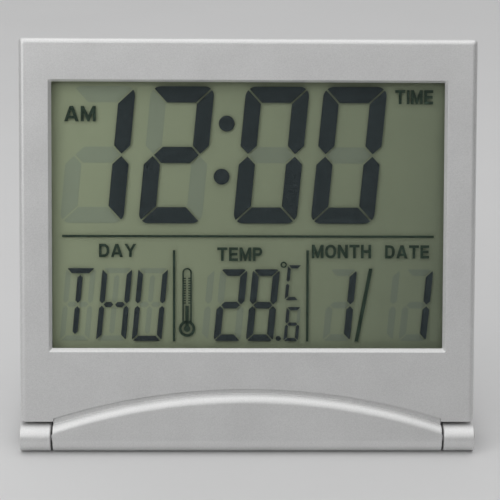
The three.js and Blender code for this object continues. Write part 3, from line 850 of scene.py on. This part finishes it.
def add_plate(mesh, points, depths=SEGMENT_DEPTHS):
    """Adds a thin flat plate of an outline in x and height."""
    near = [mesh.verts.new((x, depths[0], z + FLOOR)) for x, z in points]
    far = [mesh.verts.new((x, depths[1], z + FLOOR)) for x, z in points]
    mesh.faces.new(near)
    mesh.faces.new(far[::-1])
    for i in range(len(points)):
        j = (i + 1) % len(points)
        mesh.faces.new((near[j], near[i], far[i], far[j]))


def segment_shapes(width, height, stroke, gap):
    """Outlines of the seven segments of an upright digit, each in x and height from its lower left corner."""
    radius = 0.62 * stroke
    shift = gap / math.sqrt(2)
    cut_angle = math.degrees(math.asin(gap / 2 / radius))
    middle = height / 2

    def corner(angle0, angle1):
        angles = [math.radians(angle0 + (angle1 - angle0) * k / 4) for k in range(5)]
        centre = (width - radius, height - radius)
        return [(centre[0] + radius * math.cos(a), centre[1] + radius * math.sin(a)) for a in angles]

    def mirrored(points, left=False, down=False):
        return [(width - x if left else x, height - z if down else z) for x, z in points]

    half_top = [(width - stroke - shift, height - stroke)] + corner(45 + cut_angle, 90)
    top = half_top + mirrored(half_top, left=True)[::-1]
    shoulder = middle + shift + stroke / 2
    upper = [(width - stroke, height - stroke - shift), *corner(45 - cut_angle, 0)]
    upper += [(width, shoulder), (width - stroke / 2, middle + shift), (width - stroke, shoulder)]
    tip = stroke / 2 + shift
    flat = stroke + shift
    bar_shape = [(tip, middle), (flat, middle + stroke / 2), (width - flat, middle + stroke / 2)]
    bar_shape += [(width - tip, middle), (width - flat, middle - stroke / 2), (flat, middle - stroke / 2)]
    return {
        "a": top,
        "b": upper,
        "c": mirrored(upper, down=True),
        "d": mirrored(top, down=True),
        "e": mirrored(upper, left=True, down=True),
        "f": mirrored(upper, left=True),
        "g": bar_shape,
    }


def letter_shapes(width, height, stroke, gap):
    """The seven segments, with the middle bar split in two and a stem in the middle, for letters."""
    shapes = segment_shapes(width, height, stroke, gap)
    middle, half = height / 2, width / 2
    low, high = stroke + gap, middle - gap
    point = stroke / 2
    stem = [(half, low), (half + point, low + point), (half + point, high - point), (half, high)]
    stem += [(half - point, high - point), (half - point, low + point)]
    dash_start, dash_end = stroke * 0.5 + gap, half - 0.5 * gap
    slope = stroke * 0.45
    dash = [(dash_start, middle), (dash_start + slope, middle + point), (dash_end - slope, middle + point)]
    dash += [(dash_end, middle), (dash_end - slope, middle - point), (dash_start + slope, middle - point)]
    del shapes["g"]
    shapes["i"] = [(x, height - z) for x, z in stem]
    shapes["l"] = stem
    shapes["g1"] = dash
    shapes["g2"] = [(width - x, z) for x, z in dash]
    return shapes


def slanted(points, left, bottom, height):
    """Puts an upright outline on the display; left is its left edge at mid-height."""
    return [(left + x + SLANT * (z - height / 2), bottom + z) for x, z in points]


def add_character(lit_mesh, ghost_mesh, shapes, lit, ghosts, left, bottom, height):
    for name, outline in shapes.items():
        placed = slanted(outline, left, bottom, height)
        if name in lit:
            add_plate(lit_mesh, placed)
        elif name in ghosts:
            add_plate(ghost_mesh, placed, GHOST_DEPTHS)


def circle(x, z, radius, sides=32):
    turns = [2 * math.pi * k / sides for k in range(sides)]
    return [(x + radius * math.cos(a), z + radius * math.sin(a)) for a in turns]


def rectangle(x0, x1, z0, z1):
    return [(x0, z0), (x1, z0), (x1, z1), (x0, z1)]


def add_ring(mesh, outer, inner):
    """Adds a flat ring between two outlines of equally many points."""
    near, far = SEGMENT_DEPTHS
    rows = []
    for line, depth in ((outer, near), (outer, far), (inner, far), (inner, near)):
        rows.append([mesh.verts.new((x, depth, z + FLOOR)) for x, z in line])
    skin(mesh, rows, rows[1:] + rows[:1])


def time_digits(ghosts):
    """Twelve o'clock in the large digits, with the colon."""
    width, height, stroke, gap, bottom = 15.3, 33.0, 3.9, 0.42, 55.1
    shapes = segment_shapes(width, height, stroke, gap)
    lit = bmesh.new()
    digits = (
        (-43.9, "bc", "aedg"),
        (-24.95, "abged", "fc"),
        (-2.05, "abcdef", "g"),
        (16.7, "abcdef", "g"),
    )
    for left, on, off in digits:
        add_character(lit, ghosts, shapes, on, off, left, bottom, height)
    for x, z in ((-5.2, 79.2), (-6.4, 66.4)):
        add_plate(lit, circle(x, z, 1.92))
    return lit


def day_letters(lit, ghosts):
    """THU, in segments."""
    width, height, stroke, gap, bottom = 7.2, 17.7, 1.25, 0.4, 26.5
    shapes = letter_shapes(width, height, stroke, gap)
    letters = (
        (-41.2, {"a", "i", "l"}),
        (-32.35, {"b", "c", "e", "f", "g1", "g2"}),
        (-23.7, {"b", "c", "d", "e", "f"}),
    )
    for centre, on in letters:
        add_character(lit, ghosts, shapes, on, set(shapes) - on, centre - width / 2, bottom, height)


def small_digits(lit, ghosts):
    """The temperature, with its unit, and the date."""
    width, height, stroke, gap, bottom = 6.6, 17.5, 1.62, 0.3, 26.5
    shapes = segment_shapes(width, height, stroke, gap)
    digits = (
        (-15.4, "", "bc"),
        (-7.45, "abged", "fc"),
        (0.4, "abcdefg", ""),
        (19.1, "bc", "aedg"),
        (29.6, "", "bc"),
        (37.65, "bc", "aedg"),
    )
    for left, on, off in digits:
        add_character(lit, ghosts, shapes, on, off, left, bottom, height)
    add_plate(lit, circle(7.45, 27.15, 0.64, 20))
    tenth_height, unit_height, fine_stroke = 8.3, 8.5, 0.78
    tenth = segment_shapes(3.5, tenth_height, fine_stroke, 0.2)
    add_character(lit, ghosts, tenth, "afgedc", "b", 9.1, bottom, tenth_height)
    unit = segment_shapes(3.4, unit_height, fine_stroke, 0.3)
    add_character(lit, ghosts, unit, "afed", "", 9.35, 36.5, unit_height)


def thermometer(mesh):
    """The little thermometer: a tube with ticks, a ringed bulb and its column."""
    x, bulb, top, outer, wall = -14.7, 29.5, 44.3, 1.15, 0.38
    inner = outer - wall
    shoulder = top - outer
    base = bulb + 1.7
    arc = [math.radians(15 * k) for k in range(13)]
    tube = [(x + outer, base)]
    tube += [(x + outer * math.cos(a), shoulder + outer * math.sin(a)) for a in arc]
    tube += [(x - outer, base), (x - inner, base)]
    tube += [(x + inner * math.cos(a), shoulder + inner * math.sin(a)) for a in reversed(arc)]
    tube.append((x + inner, base))
    add_plate(mesh, tube)
    add_ring(mesh, circle(x, bulb, 2.0), circle(x, bulb, 1.32))
    add_plate(mesh, circle(x, bulb, 0.8, 20))
    column, reading = 0.42, 35.1
    add_plate(mesh, rectangle(x - column, x + column, bulb + 0.6, reading))
    first_tick, tick_pitch, tick = 35.6, 0.6, (0.5, 0.3)
    for k in range(11):
        z = first_tick + tick_pitch * k
        for side in (-1, 1):
            edge = x + side * (inner + 0.02)
            add_plate(mesh, rectangle(*sorted((edge, edge - side * tick[0])), z, z + tick[1]))


def printed_lines():
    """The lines that divide the display, the slash and the degree ring."""
    mesh = bmesh.new()
    low = 26.4
    add_plate(mesh, rectangle(-44.9, 45.1, 51.7, 52.25))
    for x in (-17.85, 14.5):
        add_plate(mesh, rectangle(x - 0.3, x + 0.3, low, 48.6))
    add_plate(mesh, [(26.0, low), (26.9, low), (30.3, 44.2), (29.4, 44.2)])
    add_ring(mesh, circle(8.7, 45.1, 0.78, 20), circle(8.7, 45.1, 0.42, 20))
    thermometer(mesh)
    return mesh


# a letter is 1 high
LETTER_WIDTHS = {"A": 0.98, "D": 0.84, "E": 0.76, "H": 0.86, "I": 0.22, "M": 1.0}
LETTER_WIDTHS |= {"N": 0.86, "O": 0.94, "P": 0.8, "T": 0.86, "Y": 0.96}
LETTER_WEIGHT = 0.2  # thickness of the strokes
LETTER_SPACE = 0.13


def bowl(x0, x1, z0, z1, round_left, round_right):
    """An outline whose left and right corners are rounded by their own (width, height)."""
    points = []
    for way_x, way_z, start in ((1, 1, 0), (-1, 1, 90), (-1, -1, 180), (1, -1, 270)):
        width, height = round_right if way_x > 0 else round_left
        centre = ((x1 if way_x > 0 else x0) - way_x * width, (z1 if way_z > 0 else z0) - way_z * height)
        for step in range(7):
            angle = math.radians(start + 15 * step)
            points.append((centre[0] + width * math.cos(angle), centre[1] + height * math.sin(angle)))
            if not width:
                break
    return points


def letter_shape(name, stem):
    """Solid outlines and ringed outlines of a bold capital, 1 high, whose upright strokes are stem wide."""
    w, t = LETTER_WIDTHS[name], LETTER_WEIGHT
    middle = w / 2
    slope = 1.1 * stem  # width of a sloping stroke, measured across
    left_stem = rectangle(0, stem, 0, 1)
    right_stem = rectangle(w - stem, w, 0, 1)
    if name == "I":
        return [rectangle(0, w, 0, 1)], []
    if name == "T":
        return [rectangle(0, w, 1 - t, 1), rectangle(middle - stem / 2, middle + stem / 2, 0, 1 - t)], []
    if name == "E":
        low, high = rectangle(stem, w, 0, t), rectangle(stem, w, 1 - t, 1)
        return [left_stem, low, rectangle(stem, 0.94 * w, 0.5 - t / 2, 0.5 + t / 2), high], []
    if name == "H":
        return [left_stem, rectangle(stem, w - stem, 0.5 - t / 2, 0.5 + t / 2), right_stem], []
    if name == "N":
        return [left_stem, [(stem, 1), (stem, 0.6), (w - stem, 0), (w - stem, 0.4)], right_stem], []
    if name == "M":
        left = [(stem, 1), (stem, 0.56), (middle - 0.3 * stem, 0), (middle, 0), (middle, 0.42)]
        right = [(w - x, z) for x, z in reversed(left)]
        return [left_stem, left, right, right_stem], []
    if name == "Y":
        fork = 0.42
        shape = [(middle - stem / 2, 0), (middle + stem / 2, 0), (middle + stem / 2, fork), (w, 1)]
        shape += [(w - slope, 1), (middle, fork + 0.2), (slope, 1), (0, 1), (middle - stem / 2, fork)]
        return [shape], []
    if name == "A":
        crotch, low, high = 0.74, 0.19, 0.37
        legs = [(0, 0), (slope, 0), (middle, crotch), (w - slope, 0), (w, 0)]
        legs += [(middle + 0.6 * stem, 1), (middle - 0.6 * stem, 1)]
        inner = [slope + (middle - slope) * z / crotch for z in (low, high)]
        return [legs, [(inner[0], low), (w - inner[0], low), (w - inner[1], high), (inner[1], high)]], []
    base = 0.38 if name == "P" else 0
    curve = 0.31 if name == "P" else 0.44
    hollow = (curve - stem, curve - t)
    left, inner_left = ((curve, curve), hollow) if name == "O" else ((0, 0), (0, 0))
    outer = bowl(0, w, base, 1, left, (curve, curve))
    inner = bowl(stem, w - stem, base + t, 1 - t, inner_left, hollow)
    return [rectangle(0, stem, 0, base)] if base else [], [(outer, inner)]


def label(text, x0, x1, z0, z1):
    """A word in bold capitals that fills a rectangle."""
    total = sum(LETTER_WIDTHS[name] for name in text) + LETTER_SPACE * (len(text) - 1)
    wide, high = (x1 - x0) / total, z1 - z0
    mesh = bmesh.new()
    start = x0
    for name in text:
        solids, rings = letter_shape(name, LETTER_WEIGHT * high / wide)
        for outline in solids:
            add_plate(mesh, [(start + x * wide, z0 + z * high) for x, z in outline])
        for pair in rings:
            outer, inner = ([(start + x * wide, z0 + z * high) for x, z in outline] for outline in pair)
            add_ring(mesh, outer, inner)
        start += (LETTER_WIDTHS[name] + LETTER_SPACE) * wide
    return mesh


LABELS = (
    ("AM", -44.3, -36.7, 79.6, 83.3),
    ("TIME", 35.4, 44.6, 84.0, 87.4),
    ("DAY", -36.0, -27.0, 46.9, 50.1),
    ("TEMP", -7.4, 3.5, 46.0, 49.3),
    ("MONTH", 15.5, 29.9, 46.7, 50.0),
    ("DATE", 33.3, 44.0, 46.7, 49.9),
)


def add_mark(name, mesh, material):
    add_piece(name, mesh, BODY, material, "clock_body", sharp=20)


def display():
    ghosts = bmesh.new()
    add_mark("time_digits", time_digits(ghosts), SEGMENT)
    lit = bmesh.new()
    day_letters(lit, ghosts)
    small_digits(lit, ghosts)
    add_mark("day_date_and_temperature", lit, SEGMENT)
    add_piece("resting_segments", ghosts, BODY, GHOST, "clock_body", sharp=20)
    add_mark("dividing_lines", printed_lines(), PRINT)
    for text, *place in LABELS:
        add_mark("label_" + text.lower(), label(text, *place), PRINT)


def display_cell():
    """The laminated cell: the polariser, the front glass and the smaller rear glass, round the segments."""
    layers = ["front_polariser", "lcd_front_glass", "lcd_rear_glass"]
    bevel = 0.15
    rings = []
    front = limits(layers[0], BODY)[0].y
    for layer in layers:
        low, high = limits(layer, BODY)
        for depth, inset in ((front, bevel), (front + bevel, 0), (high.y, 0)):
            x0, x1, z0, z1 = low.x + inset, high.x - inset, low.z + inset, high.z - inset
            rings.append(rounded_ring(x0, x1, z0, z1, 0.3, depth))
        front = high.y
    cell = loft(rings)
    bmesh.ops.remove_doubles(cell, verts=cell.verts, dist=0.001)  # the polariser is no thicker than its bevel
    add_piece("display_cell", cell, BODY, GLASS, "clock_body", layers)


# ---------------- CAD nodes that keep their shape

KEPT_NODES = (
    (LENS, ["window_lens"]),
    (REFLECTOR, ["rear_reflector"]),
    (WHITE, ["lcd_frame"]),
    (ZEBRA, ["zebra_strip_lower", "zebra_strip_upper"]),
    (BOARD, ["main_pcb"]),
    (EPOXY, ["chip_blob"]),
    (BEAD, ["thermistor"]),
    (BRASS, ["piezo_buzzer"]),
    (RED_WIRE, ["buzzer_lead_red"]),
    (BLACK_WIRE, ["buzzer_lead_black"]),
    (SILICONE, ["keypad_mat"]),
    (STEEL, ["quartz_crystal", "coin_cell", "battery_contact_minus", "battery_contact_plus"]),
    (STEEL, ["hinge_pin_left", "hinge_pin_right", *(f"pcb_screw_{k}" for k in range(1, 5))]),
)


def dress_kept_nodes():
    for material, nodes in KEPT_NODES:
        for node in nodes:
            materials = frame["nodes"][node].data.materials
            materials.clear()
            materials.append(material)


# ---------------- floor, lights and camera

def floor_material():
    recipe = Recipe("floor")
    recipe.colour(recipe.blend(recipe.noise(60, 3), (0.655, 0.655, 0.657), (0.69, 0.69, 0.692)))
    recipe.roughness(recipe.spread(recipe.noise(3), 0.65, 0.75))
    return recipe.material


def floor():
    mesh = bmesh.new()
    bmesh.ops.create_grid(mesh, x_segments=1, y_segments=1, size=6)
    ground = temporary(mesh)
    ground.name = "floor"
    ground.data.materials.append(floor_material())


def softbox(name, place, target, size, brightness):
    """A rectangular light; brightness is how bright its face looks."""
    light = bpy.data.lights.new(name, "AREA")
    light.shape = "RECTANGLE"
    light.size, light.size_y = size
    light.energy = brightness * math.pi * size[0] * size[1]
    lamp = bpy.data.objects.new(name, light)
    lamp.location = place
    lamp.rotation_euler = (Vector(target) - Vector(place)).to_track_quat("-Z", "Y").to_euler()
    scene.collection.objects.link(lamp)


def sky_lobe(tree, towards, power, brightness):
    """A soft patch of sky, brightest towards a direction."""
    direction = tree.nodes.new("ShaderNodeTexCoord").outputs["Generated"]
    along = tree.nodes.new("ShaderNodeVectorMath")
    along.operation = "DOT_PRODUCT"
    along.inputs[1].default_value = Vector(towards).normalized()
    tree.links.new(direction, along.inputs[0])
    value = along.outputs["Value"]
    for operation, number in (("MAXIMUM", 0), ("POWER", power), ("MULTIPLY", brightness)):
        node = tree.nodes.new("ShaderNodeMath")
        node.operation = operation
        node.inputs[1].default_value = number
        tree.links.new(value, node.inputs[0])
        value = node.outputs[0]
    return value


def lights():
    """A pale studio: brightest above and behind, softer in front, dark at the sides, with two softboxes."""
    world = bpy.data.worlds.new("studio")
    world.use_nodes = True
    tree = world.node_tree
    background = tree.nodes["Background"]
    background.inputs["Color"].default_value = (1, 1, 1, 1)
    total = tree.nodes.new("ShaderNodeMath")
    total.operation = "ADD"
    tree.links.new(sky_lobe(tree, (0, 0.6, 0.8), 1, 0.66), total.inputs[0])
    tree.links.new(sky_lobe(tree, (-0.2, -0.9, 0.4), 2.5, 0.18), total.inputs[1])
    tree.links.new(total.outputs[0], background.inputs["Strength"])
    scene.world = world
    softbox("overhead", (-0.1, -0.3, 1.0), (0, 0, 0), (2.0, 2.2), 0.82)
    softbox("upper left", (-0.3, -0.28, 0.22), (0, 0, 0.05), (0.2, 0.2), 1.7)


def camera():
    """A long lens in front, a little to the left and above the face."""
    azimuth, elevation, roll = math.radians(-1.2), math.radians(19.9), math.radians(0.53)
    distance = 0.42
    centre = (bezel_high.z + bezel_low.z) / 2
    target = BODY @ Vector((0.5, 0.7, centre - 1))
    level = math.cos(elevation)
    away = Vector((math.sin(azimuth) * level, -math.cos(azimuth) * level, math.sin(elevation)))
    lens = bpy.data.cameras.new("camera")
    lens.lens = 125.2
    eye = bpy.data.objects.new("camera", lens)
    facing = away.to_track_quat("Z", "Y").to_matrix().to_4x4() @ Matrix.Rotation(roll, 4, "Z")
    eye.matrix_world = Matrix.Translation(target + away * distance) @ facing
    scene.collection.objects.link(eye)
    scene.camera = eye


def clock():
    front_bezel()
    rear_case()
    battery_door()
    for name in BUTTONS:
        button(name)
    for name in CASE_SCREWS:
        case_screw(name)
    flip_cover()
    display()
    display_cell()
    dress_kept_nodes()


def studio():
    floor()
    lights()
    camera()
    scene.view_settings.view_transform = "Standard"


clock()
studio()
